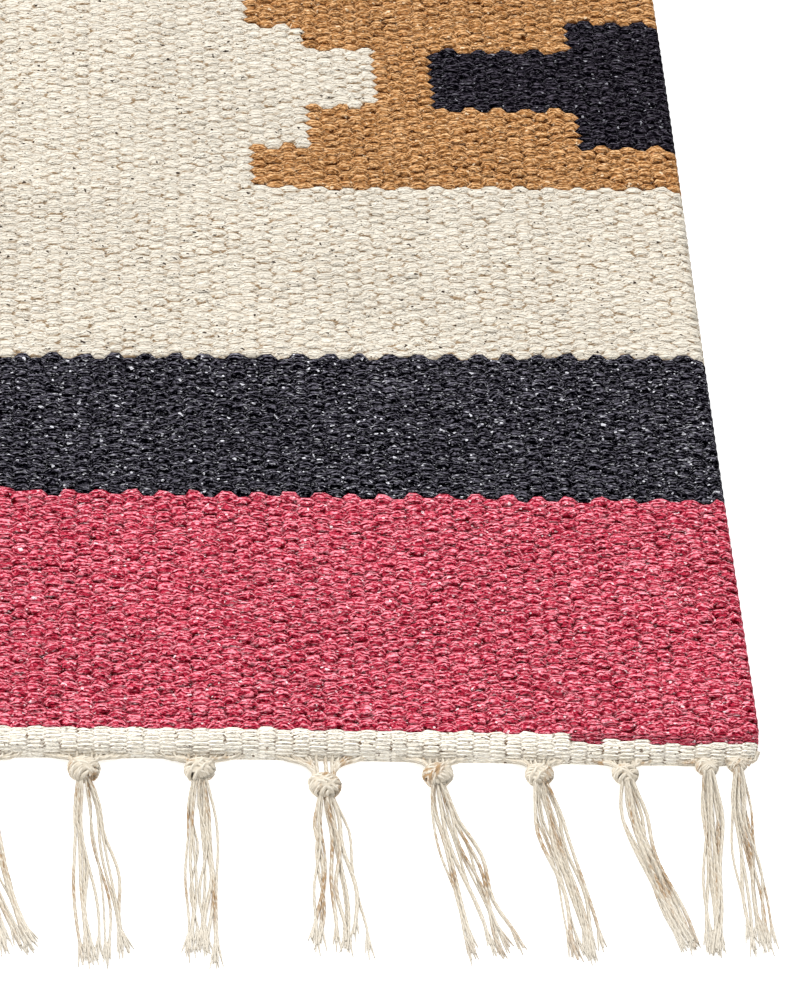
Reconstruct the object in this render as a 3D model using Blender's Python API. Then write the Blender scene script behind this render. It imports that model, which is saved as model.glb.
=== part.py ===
"""Kilim rug lying flat: a flat-woven cloth and the knotted warp tassels along both of its ends.

Metres, +Z up. The origin is on the floor under the middle of the cloth. X runs across the width,
Y along the length, and the near end is the one at -Y. Everything rests on z = 0.
"""
import math
import random
from collections import namedtuple

import bmesh
import bpy
from mathutils import Vector

MM = 0.001

# Cloth
CLOTH_WIDTH = 600 * MM
CLOTH_LENGTH = 900 * MM
CLOTH_THICKNESS = 4.4 * MM
CLOTH_EDGE_ROUND = 1.3 * MM
SELVEDGE_SWAY = 0.45 * MM
LONG_WAVE = 11.0
SHORT_WAVE = 27.0
SHORT_WAVE_SHARE = 0.6
SELVEDGE_POINTS = 22
EDGE_SWAG = 0.8 * MM
EDGE_POINTS_BETWEEN_KNOTS = 2
CORNER_REACH = 9 * MM
CORNER_DRAW = 1.4 * MM

# Tassels
PIECE_GAP = 0.3 * MM
RING_POINTS = 10
LOCKS = RING_POINTS // 2
FAN_HALF_WIDTH = 8.0 * MM
FAN_CLEARANCE = 0.5 * MM
LOCK_ROOT_PITCH = 1 / 6
LOCK_WIDTH = 1.15 * MM
LEAN_CURVE = 1.6
LOCK_HEIGHT = 1.1 * MM
LOCK_TIP_HEIGHT = 0.75 * MM
LOCK_UNEVEN = 3.0 * MM
LOCK_STATIONS = (0.13, 0.38, 0.7, 1.0)
LOCK_FILL = 0.72
LOCK_SWAY = 0.45 * MM
LANDING = 0.3
SEED = 27

# Where a tassel's knot sits along the end, how far its strands' ends lean towards +X, the width
# over those ends, the strands' length and the knot's width, all in millimetres.
Tassel = namedtuple("Tassel", "place lean spread length knot")

# The tassels beside the near right corner, placed by their distance from the right selvedge.
CORNER_TASSELS = (
    Tassel(place=6.3, lean=0.4, spread=8.4, length=50.0, knot=5.2),
    Tassel(place=13.1, lean=-3.2, spread=3.8, length=52.0, knot=6.0),
    Tassel(place=31.5, lean=10.2, spread=5.0, length=50.0, knot=7.2),
    Tassel(place=50.5, lean=7.2, spread=5.6, length=52.0, knot=7.2),
    Tassel(place=72.8, lean=9.9, spread=12.5, length=52.0, knot=7.6),
    Tassel(place=97.5, lean=0.7, spread=14.2, length=50.0, knot=7.8),
    Tassel(place=124.4, lean=-0.5, spread=8.0, length=53.0, knot=7.4),
    Tassel(place=149.3, lean=4.0, spread=13.0, length=54.0, knot=7.6),
    Tassel(place=171.4, lean=9.1, spread=8.0, length=51.0, knot=7.4),
)
FAR_TASSELS = 26
NEAR_PLAIN_TASSELS = 18
END_MARGIN = 4.5

# The other tassels vary at random about these, in millimetres.
PLACE_JITTER = 1.2
LEAN_SWING = 4.5
LEAN_STEP = 0.7
LEAN_JITTER = 0.8
SPREAD_RANGE = (5.5, 10.5)
LENGTH_RANGE = (49.0, 55.0)
KNOT_RANGE = (6.8, 7.8)

# Rings of a tassel's head, from the fan of warp ends at the cloth to the knot's open end: how far
# out the ring lies, its half width as a share of the knot's and its height, in millimetres.
Ring = namedtuple("Ring", "out half height")
HEAD_RINGS = (
    Ring(out=1.7, half=0.74, height=2.8),
    Ring(out=3.4, half=0.97, height=4.8),
    Ring(out=5.8, half=1.00, height=5.2),
    Ring(out=8.2, half=0.56, height=3.2),
)
FAN_HEIGHT = 1.5 * MM
KNOT_TWIST = 0.5 * MM

CREAM = (0.76, 0.69, 0.57)
FRINGE = (0.71, 0.62, 0.49)


def random_tassels(places, chance):
    """Tassels of the ends that nothing fixes: uneven, but never so much that two of them meet."""
    phase = chance.uniform(0, 2 * math.pi)
    rows = []
    for index, place in enumerate(places):
        rows.append(Tassel(
            place=place + chance.uniform(-PLACE_JITTER, PLACE_JITTER),
            lean=LEAN_SWING * math.sin(LEAN_STEP * index + phase) + chance.uniform(-LEAN_JITTER, LEAN_JITTER),
            spread=chance.uniform(*SPREAD_RANGE),
            length=chance.uniform(*LENGTH_RANGE),
            knot=chance.uniform(*KNOT_RANGE),
        ))
    return rows


def tassel_rows():
    """The near and the far end's tassels, with their places turned into X, in order of X."""
    chance = random.Random(SEED)
    width = CLOTH_WIDTH / MM
    last = CORNER_TASSELS[-1].place
    step = (width - END_MARGIN - last) / NEAR_PLAIN_TASSELS
    near_places = [last + step * (number + 1) for number in range(NEAR_PLAIN_TASSELS)]
    near = list(CORNER_TASSELS) + random_tassels(near_places, chance)
    step = (width - 2 * END_MARGIN) / (FAR_TASSELS - 1)
    far = random_tassels([END_MARGIN + step * number for number in range(FAR_TASSELS)], chance)
    rows = []
    for row in (near, far):
        placed = [tassel._replace(place=width / 2 - tassel.place) for tassel in row]
        rows.append(sorted(placed, key=lambda tassel: tassel.place))
    return rows


def corner_draw(distance):
    """How far the outline draws in this close to a corner."""
    if distance >= CORNER_REACH:
        return 0.0
    return CORNER_DRAW * (1 - distance / CORNER_REACH) ** 2


def edge_reach(x, row):
    """How far the cloth's end reaches at x: full at each knot, drawn in between two of them."""
    knots = [tassel.place * MM for tassel in row]
    reach = -corner_draw(CLOTH_WIDTH / 2 - abs(x))
    for left, right in zip(knots, knots[1:]):
        if left <= x <= right:
            reach -= EDGE_SWAG * math.sin(math.pi * (x - left) / (right - left))
    return reach


def selvedge_x(y, side):
    """X of the selvedge at y, with the slight sway of a cloth woven by hand."""
    sway = math.sin(LONG_WAVE * y + side) + SHORT_WAVE_SHARE * math.sin(SHORT_WAVE * y + 2 * side)
    return side * (CLOTH_WIDTH / 2 + SELVEDGE_SWAY * sway - corner_draw(CLOTH_LENGTH / 2 - abs(y)))


def end_points(row, side):
    """Points of one end's edge, from -X to +X."""
    half = CLOTH_WIDTH / 2 - CLOTH_EDGE_ROUND
    stops = [-half] + [tassel.place * MM for tassel in row] + [half]
    pieces = EDGE_POINTS_BETWEEN_KNOTS + 1
    xs = [-half]
    for left, right in zip(stops, stops[1:]):
        if right - left < CLOTH_EDGE_ROUND * 2:
            continue
        xs += [left + (right - left) * number / pieces for number in range(1, pieces + 1)]
    return [(x, side * (CLOTH_LENGTH / 2 + edge_reach(x, row))) for x in xs]


def selvedge_points(side):
    """Points of one selvedge, from -Y to +Y, without the corners."""
    half = CLOTH_LENGTH / 2 - CORNER_REACH / 4
    ys = [-half + 2 * half * number / (SELVEDGE_POINTS - 1) for number in range(SELVEDGE_POINTS)]
    return [(selvedge_x(y, side), y) for y in ys]


def make_object(name, bm, color, roughness):
    """Closes the mesh's normals outwards and makes it an object with its own material."""
    bmesh.ops.recalc_face_normals(bm, faces=bm.faces)
    mesh = bpy.data.meshes.new(name)
    bm.to_mesh(mesh)
    bm.free()
    material = bpy.data.materials.new(name + "_yarn")
    material.use_nodes = True
    shader = material.node_tree.nodes["Principled BSDF"]
    shader.inputs["Base Color"].default_value = (*color, 1)
    shader.inputs["Roughness"].default_value = roughness
    shader.inputs["Metallic"].default_value = 0.0
    mesh.materials.append(material)
    mesh.shade_smooth()
    mesh.set_sharp_from_angle(angle=math.radians(40))
    obj = bpy.data.objects.new(name, mesh)
    bpy.context.collection.objects.link(obj)
    return obj


def make_cloth(near, far):
    """The woven cloth with both headings: one flat slab with softly rounded edges."""
    outline = end_points(near, -1) + selvedge_points(1)
    outline += list(reversed(end_points(far, 1))) + list(reversed(selvedge_points(-1)))
    bm = bmesh.new()
    bottom = bm.faces.new([bm.verts.new((x, y, 0)) for x, y in outline])
    raised = bmesh.ops.extrude_face_region(bm, geom=[bottom])
    lifted = [item for item in raised["geom"] if isinstance(item, bmesh.types.BMVert)]
    bmesh.ops.translate(bm, vec=(0, 0, CLOTH_THICKNESS), verts=lifted)
    rims = [edge for edge in bm.edges if edge.verts[0].co.z == edge.verts[1].co.z]
    bmesh.ops.bevel(bm, geom=rims, offset=CLOTH_EDGE_ROUND, segments=1, affect="EDGES")
    make_object("rug_cloth", bm, CREAM, 0.9)


def head_ring(tassel, out, half, height, turn):
    """One ring of the head, its lowest side flat on the floor, as points (across, out, up)."""
    ring = []
    side_angle = math.pi / RING_POINTS
    for number in range(RING_POINTS):
        angle = 2 * side_angle * (number + 0.5) + math.pi / 2
        ring.append(Vector((
            tassel.place * MM + half * math.cos(angle),
            out + KNOT_TWIST * math.sin(angle + turn),
            height / 2 * (1 + math.sin(angle) / math.cos(side_angle)),
        )))
    return ring


def fan_ring(tassel, fan_half):
    """The fan's wide and flat root, just clear of the cloth's edge."""
    ring = head_ring(tassel, 0, fan_half, FAN_HEIGHT, 0)
    for point in ring:
        point.y = PIECE_GAP
    return ring


def head_rings(tassel, row, chance):
    """All rings of one head, from the cloth to the knot's open end."""
    others = [abs(other.place - tassel.place) * MM / 2 for other in row if other is not tassel]
    edge = CLOTH_WIDTH / 2 - abs(tassel.place * MM)
    fan_half = min([FAN_HALF_WIDTH, edge] + others) - FAN_CLEARANCE
    turn = chance.uniform(0, 2 * math.pi)
    rings = [fan_ring(tassel, fan_half)]
    for ring in HEAD_RINGS:
        half = ring.half * tassel.knot * MM / 2
        rings.append(head_ring(tassel, ring.out * MM, half, ring.height * MM, turn))
    return rings


def lock_section(tassel, lock, share, root, length, sway):
    """Three points of a lock's cross-section, its flat side down, share of the way to its tip."""
    middle = (LOCKS - 1) / 2
    rank = lock - middle
    root_pitch = LOCK_ROOT_PITCH * tassel.knot * MM
    tip_pitch = tassel.spread * MM / (LOCKS - 1)
    pitch = root_pitch + (tip_pitch - root_pitch) * share
    across = pitch * rank + tassel.lean * MM * share ** LEAN_CURVE + sway * math.sin(math.pi * share)
    width = min(LOCK_FILL * pitch, LOCK_WIDTH)
    height = LOCK_HEIGHT + (LOCK_TIP_HEIGHT - LOCK_HEIGHT) * share
    floor = max(0.0, (root.z - height / 2) * (1 - share / LANDING))
    x = tassel.place * MM + across
    y = root.y + length * share
    left = Vector((x - width / 2, y, floor))
    right = Vector((x + width / 2, y, floor))
    ridge = Vector((x, y, floor + height))
    return [left, right, ridge]


def pull_lock(bm, face, sections):
    """Draws one face of the knot out through the sections, each point to the nearest of its ring.

    The face turns to each section in two steps, so that no side of the lock twists into itself.
    """
    middle = face.calc_center_median()
    first = [vert.co - middle for vert in face.verts]
    for number, section in enumerate(sections):
        made = bmesh.ops.extrude_discrete_faces(bm, faces=[face])
        face = made["faces"][0]
        corners = list(face.verts)
        orders = []
        for order in (section, section[::-1]):
            orders += [order[turn:] + order[:turn] for turn in range(len(order))]
        normal = face.normal.copy()

        def turned_back(order):
            return (order[1] - order[0]).cross(order[2] - order[0]).dot(normal) <= 0

        def travel(order):
            flat = sum((point.xz - corner.co.xz).length for point, corner in zip(order, corners))
            return (turned_back(order), flat)

        best = min(orders, key=travel)
        centre = sum(section, Vector()) / len(section)
        for corner, point, start in zip(corners, best, first):
            corner.co = point if number else (point + centre + start) / 2
            corner.co.z = max(corner.co.z, 0.0)
        face.normal_update()


def make_tassel(name, tassel, row, side, chance):
    """One tassel: a fan of warp ends at the cloth, their overhand knot, and loose locks on the floor."""
    bm = bmesh.new()
    rings = [[bm.verts.new(point) for point in ring] for ring in head_rings(tassel, row, chance)]
    for ring, after in zip(rings, rings[1:]):
        for number in range(RING_POINTS):
            follows = (number + 1) % RING_POINTS
            bm.faces.new((ring[number], ring[follows], after[follows], after[number]))
    bm.faces.new(reversed(rings[0]))
    open_end = rings[-1]
    centre = bm.verts.new(sum((vert.co for vert in open_end), Vector()) / RING_POINTS)
    wedges = []
    for number in range(RING_POINTS):
        follows = (number + 1) % RING_POINTS
        wedges.append(bm.faces.new((open_end[number], open_end[follows], centre)))
    bmesh.ops.recalc_face_normals(bm, faces=bm.faces)
    roots = sorted(wedges[::2], key=lambda face: face.calc_center_median().x)
    sway = LOCK_SWAY * chance.uniform(-1, 1)
    for lock, face in enumerate(roots):
        root = face.calc_center_median()
        length = tassel.length * MM - root.y - LOCK_UNEVEN * chance.uniform(0, 1)
        sections = [lock_section(tassel, lock, share, root, length, sway) for share in LOCK_STATIONS]
        pull_lock(bm, face, sections)
    for vert in bm.verts:
        vert.co.y = side * (CLOTH_LENGTH / 2 + vert.co.y)
    make_object(name, bm, FRINGE, 0.92)


def clear_scene():
    """Removes what a new file holds."""
    for obj in list(bpy.data.objects):
        bpy.data.objects.remove(obj, do_unlink=True)


def build_rug():
    """Models every piece of the rug."""
    clear_scene()
    near, far = tassel_rows()
    make_cloth(near, far)
    chance = random.Random(SEED + 1)
    for end, row, side in (("near", near, -1), ("far", far, 1)):
        for number, tassel in enumerate(row):
            make_tassel(f"tassel_{end}_{number + 1:02d}", tassel, row, side, chance)


build_rug()
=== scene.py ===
"""Kilim rug: the woven cloth float by float, and the knotted warp fringe along both of its ends.

The rug lies on z = 0 in the row frame, with +Z up and its near end at -Y. Its own sizes are in
millimetres, and the room's in metres.
"""
import math
import random
from collections import namedtuple

import bpy
import numpy as np
from mathutils import Matrix, Vector


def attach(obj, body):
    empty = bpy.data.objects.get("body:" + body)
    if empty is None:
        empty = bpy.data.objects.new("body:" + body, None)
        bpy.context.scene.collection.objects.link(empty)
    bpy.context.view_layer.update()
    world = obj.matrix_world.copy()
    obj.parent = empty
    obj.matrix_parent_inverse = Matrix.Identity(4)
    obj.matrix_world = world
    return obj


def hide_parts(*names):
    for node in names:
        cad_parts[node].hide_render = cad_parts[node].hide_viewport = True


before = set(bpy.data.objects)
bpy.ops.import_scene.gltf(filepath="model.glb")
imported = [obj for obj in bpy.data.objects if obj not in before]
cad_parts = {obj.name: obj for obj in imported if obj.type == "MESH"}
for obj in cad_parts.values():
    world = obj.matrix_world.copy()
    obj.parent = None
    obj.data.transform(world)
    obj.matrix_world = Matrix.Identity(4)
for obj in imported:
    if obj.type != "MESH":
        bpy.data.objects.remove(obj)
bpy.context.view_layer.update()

MM = 0.001
SEED = 27


# Materials


class Value:
    """One number of a material's tree. Arithmetic on it adds Math nodes."""

    def __init__(self, finish, socket):
        self.finish = finish
        self.socket = socket

    def math(self, operation, *others):
        return self.finish.math(operation, self, *others)

    def __add__(self, other):
        return self.math("ADD", other)

    def __sub__(self, other):
        return self.math("SUBTRACT", other)

    def __rsub__(self, other):
        return self.finish.math("SUBTRACT", other, self)

    def __mul__(self, other):
        return self.math("MULTIPLY", other)

    __radd__ = __add__
    __rmul__ = __mul__

    def __abs__(self):
        return self.math("ABSOLUTE")


class Tree:
    """A node tree, and the one method that adds a node to it."""

    def __init__(self, tree):
        self.nodes = tree.nodes
        self.links = tree.links

    def feed(self, socket, value):
        """Links a value or sets a plain one."""
        if isinstance(value, Value):
            self.links.new(value.socket, socket)
        elif isinstance(value, bpy.types.NodeSocket):
            self.links.new(value, socket)
        else:
            socket.default_value = value

    def node(self, kind, settings=None, inputs=None):
        """Adds a node: its settings first, then its sockets by name or number."""
        node = self.nodes.new(kind)
        for name, value in (settings or {}).items():
            setattr(node, name, value)
        for name, value in (inputs or {}).items():
            self.feed(node.inputs[name], value)
        return node


class Finish(Tree):
    """A material with a matte Principled shader."""

    def __init__(self, name, roughness):
        self.material = bpy.data.materials.new(name)
        self.material.use_nodes = True
        super().__init__(self.material.node_tree)
        self.shader = self.nodes["Principled BSDF"]
        self.shader.inputs["Roughness"].default_value = roughness
        self.shader.inputs["Specular IOR Level"].default_value = 0.0

    def math(self, operation, *values):
        node = self.node("ShaderNodeMath", {"operation": operation}, dict(enumerate(values)))
        return Value(self, node.outputs[0])

    def ramp(self, value, low, high, to_low=0.0, to_high=1.0):
        """Value eased from to_low at low to to_high at high, and held outside them."""
        node = self.node(
            "ShaderNodeMapRange",
            {"interpolation_type": "SMOOTHSTEP"},
            {"Value": value, "From Min": low, "From Max": high, "To Min": to_low, "To Max": to_high},
        )
        return Value(self, node.outputs["Result"])

    def mix(self, share, first, second, blend="MIX"):
        """Two colours mixed by share. The colours' sockets are the seventh and the eighth."""
        settings = {"data_type": "RGBA", "blend_type": blend}
        return self.node("ShaderNodeMix", settings, {0: share, 6: first, 7: second}).outputs[2]

    def noise(self, scale, detail, roughness, stretch=(1, 1, 1), turn=0.0, distortion=0.0):
        """Noise over the object's coordinates, which are stretched and turned about Z."""
        coordinates = self.node("ShaderNodeTexCoord").outputs["Object"]
        inputs = {"Vector": coordinates, "Scale": stretch, "Rotation": (0, 0, turn)}
        inputs = {
            "Vector": self.node("ShaderNodeMapping", {}, inputs).outputs["Vector"],
            "Scale": scale, "Detail": detail, "Roughness": roughness, "Distortion": distortion,
        }
        return Value(self, self.node("ShaderNodeTexNoise", {}, inputs).outputs["Fac"])

    def attribute(self, name):
        """A number that the mesh carries under that name."""
        node = self.node("ShaderNodeAttribute", {"attribute_name": name})
        return Value(self, node.outputs["Fac"])

    def raise_by(self, height, distance, strength):
        """A bump of that height, on top of those before."""
        inputs = {"Height": height, "Distance": distance, "Strength": strength}
        node = self.node("ShaderNodeBump", {}, inputs)
        normal = self.shader.inputs["Normal"]
        if normal.is_linked:
            self.feed(node.inputs["Normal"], normal.links[0].from_socket)
        self.feed(normal, node.outputs["Normal"])


def srgb(red, green, blue):
    """A colour's linear value from the numbers of a picture program."""
    linear = []
    for part in (red, green, blue):
        share = part / 255
        linear.append(share / 12.92 if share <= 0.04045 else ((share + 0.055) / 1.055) ** 2.4)
    return (*linear, 1.0)


# A float's outline on its own map, as shares of the warp pitch from its middle: where its corners
# lie and where its tips do. A float of two ends has softer tips.
CREVICE_UV = 0.28
TIP_UV = 1 - CREVICE_UV
TWO_END_TIPS = 0.81

# The noises of the yarns, in cycles to a metre.
FIBRES = 1900
MOTTLE = 620
PATCHES = 430
FLECKS = 1000
GLINTS = 2100
SPECKS = 1000
CLOUDS = 26
FRINGE_FIBRES = 3000
FRINGE_STRETCHES = 260

# The turns of the fringe's twist to a metre.
FRINGE_TWIST = 420

# A weft yarn: its colour in shade, its painted highlight on the crowns and its painted shade in the
# crevices; stray flecks and specks of other fibres with their share, and the share of fine glints in
# the specks' colour, painted highlights on the dyed yarns and dark fibres on the pale ones; how dark
# the painted shade in the grooves between fibres is, from which value of their noise specks show,
# and how deep the crevices round a float are, in millimetres; then how far crevices bow (arch), the
# plies to a pick, the ends of yarn to a float, and how much finer than the stripes' yarn it is.
Yarn = namedtuple(
    "Yarn",
    "base crown hollow fleck fleck_share speck speck_share glint groove speck_from depth "
    "arch plies ends fine",
    defaults=(0.65, 1.5, 1, 1.0),
)

YARNS = {
    "cream": Yarn(
        base=srgb(207, 200, 186), crown=srgb(222, 215, 202), hollow=srgb(144, 122, 96),
        fleck=srgb(200, 188, 167), fleck_share=0.4, speck=srgb(44, 28, 18), speck_share=0.95,
        glint=0.05, groove=0.3, speck_from=0.715, depth=0.42,
    ),
    "charcoal": Yarn(
        base=srgb(2, 1, 6), crown=srgb(106, 103, 114), hollow=srgb(0, 0, 1),
        fleck=srgb(44, 42, 52), fleck_share=0.3, speck=srgb(220, 220, 226), speck_share=0.9,
        glint=0.75, groove=0.95, speck_from=0.71, depth=0.70,
    ),
    "motif_charcoal": Yarn(
        base=srgb(5, 3, 9), crown=srgb(78, 73, 83), hollow=srgb(0, 0, 1),
        fleck=srgb(38, 35, 44), fleck_share=0.4, speck=srgb(190, 190, 198), speck_share=0.6,
        glint=0.3, groove=0.8, speck_from=0.73, depth=0.70,
    ),
    "raspberry": Yarn(
        base=srgb(180, 42, 66), crown=srgb(254, 158, 173), hollow=srgb(64, 0, 3),
        fleck=srgb(166, 28, 54), fleck_share=0.45, speck=srgb(253, 222, 226), speck_share=0.8,
        glint=0.5, groove=0.95, speck_from=0.72, depth=0.62,
    ),
    "ochre": Yarn(
        base=srgb(168, 118, 70), crown=srgb(224, 180, 132), hollow=srgb(56, 22, 1),
        fleck=srgb(158, 94, 46), fleck_share=0.45, speck=srgb(240, 216, 182), speck_share=0.7,
        glint=0.4, groove=0.8, speck_from=0.72, depth=0.72,
    ),
    # Paler than the cream: painted light against the shade on the heading's fall, away from the lamp.
    "heading": Yarn(
        base=srgb(251, 244, 229), crown=srgb(254, 250, 241), hollow=srgb(100, 72, 44),
        fleck=srgb(238, 224, 200), fleck_share=0.3, speck=srgb(96, 70, 48), speck_share=0.8,
        glint=0.06, groove=0.3, speck_from=0.71, depth=0.40, arch=2.2, plies=0.8, ends=2, fine=1.6,
    ),
}

# The fringe in its shade, its main colour and its palest.
FRINGE_COLORS = (srgb(158, 129, 96), srgb(200, 190, 173), srgb(226, 219, 206))


def float_depth(across, along, ends=1):
    """How near the outline of a float a place on it is: 0 at its middle, 1 in the crevice.

    A float of two ends of yarn, one beside the other, has a crevice along its middle too, and
    hardly any at its tips.
    """
    rise = abs(along)
    side = abs(across) * (1 / TIP_UV) + rise * ((TIP_UV - CREVICE_UV) / TIP_UV)
    if ends == 2:
        rise = abs(rise * 2 - 1)
        side = side * TWO_END_TIPS
    return rise.math("MAXIMUM", side)


def yarn_finish(name, yarn):
    """Dyed cotton weft: painted highlights on its crowns, painted shade round each float, stray flecks.
    """
    finish = Finish(name, 0.95)
    uv = finish.node("ShaderNodeUVMap", {"uv_map": "float"})
    split = finish.node("ShaderNodeSeparateXYZ", {}, {"Vector": uv.outputs["UV"]})
    across = Value(finish, split.outputs["X"]) - 1
    along = Value(finish, split.outputs["Y"]) - 1
    bowed = along + across * across * yarn.arch
    own = float_depth(across, bowed, yarn.ends)
    next_own = float_depth(1 - abs(across), 1 - abs(along))
    edge = own.math("MINIMUM", next_own)
    tint = finish.attribute("tint")
    fibres = finish.noise(FIBRES * yarn.fine, 3, 0.65, (0.4, 1, 1), 0.15)
    mottle = finish.noise(MOTTLE * yarn.fine, 3, 0.65, (0.6, 1, 1), distortion=0.6)

    # Crowns: painted highlight where plies and fibres catch the light, paler on each float's side
    # towards the lamp; painted shade in the grooves between them.
    arch = bowed + (mottle - 0.5) * 2.2
    plies = ((arch * yarn.plies + tint) * (2 * math.pi)).math("SINE") * 0.5 + 0.5
    stroke = plies * 0.36 + fibres * 1.35 + mottle * 0.2
    color = finish.mix(finish.ramp(stroke + along * 0.06, 0.88, 1.28), yarn.base, yarn.crown)
    flecks = finish.noise(FLECKS, 2, 0.7, (0.35, 1, 1), -0.5)
    color = finish.mix(finish.ramp(flecks, 0.56, 0.66) * yarn.fleck_share, color, yarn.fleck)
    color = finish.mix(finish.ramp(stroke, 0.92, 0.66) * yarn.groove, color, yarn.hollow)

    # Crevices: painted shade, ragged, deeper on each float's side away from the lamp, and here and
    # there closed.
    ragged = edge - along * 0.22 + (fibres - 0.5) * 1.6 + (mottle - 0.5) * 1.5
    patches = finish.noise(PATCHES, 1, 0.4, (0.8, 1, 1), 0.3)
    hollow = finish.ramp(ragged, 0.84, 1.16) * finish.ramp(patches, 0.36, 0.62, 0.45, 1.0)
    color = finish.mix(hollow, color, yarn.hollow)

    # Glints and specks: fine glints in the specks' colour, painted highlights on the dyed yarns and
    # dark fibres on the pale ones; then fibres of another colour and bits of husk.
    glints = finish.noise(GLINTS, 2, 0.6, (0.28, 1.3, 1), 0.45)
    color = finish.mix(finish.ramp(glints, 0.60, 0.74) * yarn.glint, color, yarn.speck)
    specks = finish.noise(SPECKS, 1, 0.4, (0.7, 1, 1), 0.8)
    specks = finish.ramp(specks, yarn.speck_from, yarn.speck_from + 0.02) * yarn.speck_share
    color = finish.mix(specks, color, yarn.speck)

    # Slow cloudiness, and a little from float to float.
    clouds = finish.noise(CLOUDS, 2, 0.5)
    dim = finish.ramp(clouds + (tint - 0.5) * 0.15, 0.3, 0.75, 0.945, 1.02)
    grey = finish.node("ShaderNodeCombineColor", {}, {0: dim, 1: dim, 2: dim})
    color = finish.mix(1.0, color, grey.outputs[0], "MULTIPLY")
    finish.feed(finish.shader.inputs["Base Color"], color)
    for height, distance in ((plies, 0.20), (mottle, 0.75), (fibres, 0.32)):
        finish.raise_by(height, distance * MM / yarn.fine, 0.9)
    return finish.material


def fringe_finish(name, dark, base, pale):
    """Loose plied cotton warp: a twist along each end, browner stretches and paler tips."""
    finish = Finish(name, 0.94)
    around, along, tint, tip = (finish.attribute(name) for name in ("around", "along", "tint", "tip"))
    turn = ((around * 2 + along * FRINGE_TWIST + tint * 7) * (2 * math.pi)).math("SINE")
    fibres = finish.noise(FRINGE_FIBRES, 3, 0.6, (1, 0.35, 1))
    stretch = finish.noise(FRINGE_STRETCHES, 2, 0.5, (1, 0.35, 1))
    shade = finish.ramp(stretch + tint * 0.2 + fibres * 0.25, 0.48, 0.70)
    color = finish.mix(shade, dark, base)
    color = finish.mix(finish.ramp(turn * 0.25 + fibres, 0.45, 0.85) * 0.7, color, pale)
    color = finish.mix(tip * 0.5, color, pale)
    finish.feed(finish.shader.inputs["Base Color"], color)
    finish.raise_by(turn, 0.10 * MM, 0.8)
    finish.raise_by(fibres, 0.16 * MM, 0.8)
    return finish.material


# Objects and what their meshes carry


def add_object(name, data):
    """A new object with that mesh, lamp or camera."""
    made = bpy.data.objects.new(name, data)
    bpy.context.collection.objects.link(made)
    return made


def store(mesh, name, kind, domain, values):
    """Numbers that the mesh carries under that name."""
    mesh.attributes.new(name, kind, domain).data.foreach_set("value", values)


# The woven cloth

WIDTH = 600.0
LENGTH = 900.0
THICKNESS = 4.4
WARPS = 167
WARP_PITCH = WIDTH / WARPS

# The outline of the cloth, in millimetres: the sway of its selvedges, the swags of its ends between
# the knots, its drawn-in corners, and the selvedge pulled in towards the photographed corner.
SELVEDGE_SWAY = 0.45
LONG_WAVE = 0.011
SHORT_WAVE = 0.027
EDGE_SWAG = 0.25
CORNER_REACH = 9.0
CORNER_DRAW = 1.4
CORNER_PULL = 0.9
CORNER_PULL_REACH = 90.0
SIDE_STRIP = 40.0

# The heading falls to the floor on a quarter of an ellipse: how far out it goes, where it ends and
# how long it is. Its ends reach out by END_REACH, and by more towards the photographed corner.
FALL_OUT = 4.5
FALL_LOW = 0.25
FALL_ARC = 6.6
FALL_EXTRA = FALL_ARC - FALL_OUT
END_REACH = 0.7
CORNER_REACH_OUT = 1.1
CORNER_REACH_FROM = 170
CORNER_REACH_OVER = 110

# The selvedge's rounding, how far its floats bulge, and how far in the underside starts.
SIDE_ROUND = 2.2
WRAP_BULGE = 0.12
LOWEST = 0.05
UNDER_INSET = 1.0
UNDER_START = 0.4

# Bands of picks from the edge to the middle: name, yarn, number of picks, and the far side's
# distance from the edge, measured along the surface.
Band = namedtuple("Band", "name yarn picks until")
BANDS = (
    Band("heading", "heading", 17, FALL_ARC),
    Band("near_stripe", "raspberry", 44, 71.3 + FALL_EXTRA),
    Band("dark_stripe", "charcoal", 33, 114.2 + FALL_EXTRA),
    Band("plain_stripe", "cream", 42, 169.6 + FALL_EXTRA),
    Band("motifs", "cream", 50, 241.8 + FALL_EXTRA),
    Band("field", "cream", 149, LENGTH / 2 + FALL_EXTRA),
)

# The stepped diamonds, counted in picks from where they start and in warps from their middle.
Step = namedtuple("Step", "until half_width")
OCHRE_STEPS = (Step(10, 30.4), Step(20, 26.3), Step(34, 21.3), Step(40, 26.0), Step(50, 29.9))
CHARCOAL_STEPS = (Step(10, 0), Step(19, 7.4), Step(34, 16.9), Step(42, 7.2), Step(50, 0))
DIAMOND_MIDDLES = (0, WARPS / 2, WARPS)

# Near the photographed corner the first stripe's yarn reaches into the heading: from which warp
# on, and by how many picks.
DROOPS = ((155, 5), (157, 3), (160, 5), (164, 4))

# How far the first stripe is beaten down over the heading, which evens out the edge between them.
HEM_DROP = 0.45

# How far from its warp a float's outline has its corners, and its flat crown, as shares of the warp
# pitch, with the heading's after them; half a crown's length, as a share of the picks' pitch.
CREVICE_REACH = CREVICE_UV
HEADING_CREVICE_REACH = 0.34
CROWN_REACH = 0.22
HEADING_CROWN_REACH = 0.17
CROWN_HEIGHT = 0.46

# The corners of a crown, counter-clockwise, and on which side of its middle each lies.
CROWN_CORNERS = (("crown_a", -1, -1), ("crown_b", 1, -1), ("crown_c", 1, 1), ("crown_d", -1, 1))

# Picks closer than this are the heading's thin ones.
THIN_PITCH = 1.0


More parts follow.
